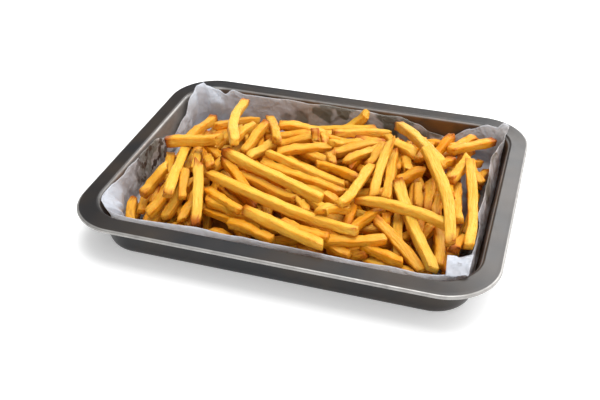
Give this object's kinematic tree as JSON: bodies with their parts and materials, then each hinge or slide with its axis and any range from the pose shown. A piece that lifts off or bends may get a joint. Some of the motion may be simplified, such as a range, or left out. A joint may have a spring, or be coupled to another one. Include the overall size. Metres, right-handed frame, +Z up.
{
  "type": "french fries portion",
  "caption": "Thin-cut french fries heaped in a dark grey metal roasting tray lined with crumpled white baking paper.",
  "frame": {"origin": "middle of the tray's underside", "axes": "+X along the tray's long side, +Y towards its far long side, +Z up"},
  "size_m": [0.33, 0.25, 0.0659],
  "materials": {
    "tray_steel": "satin dark non-stick coating",
    "baking_paper": "waxy, crumpled, grease-stained",
    "fried_potato": "oily, browned at the ends"
  },
  "bodies": {
    "root": {"tray": "tray_steel", "paper": "baking_paper", "fries": "fried_potato"}
  },
  "joints": []
}
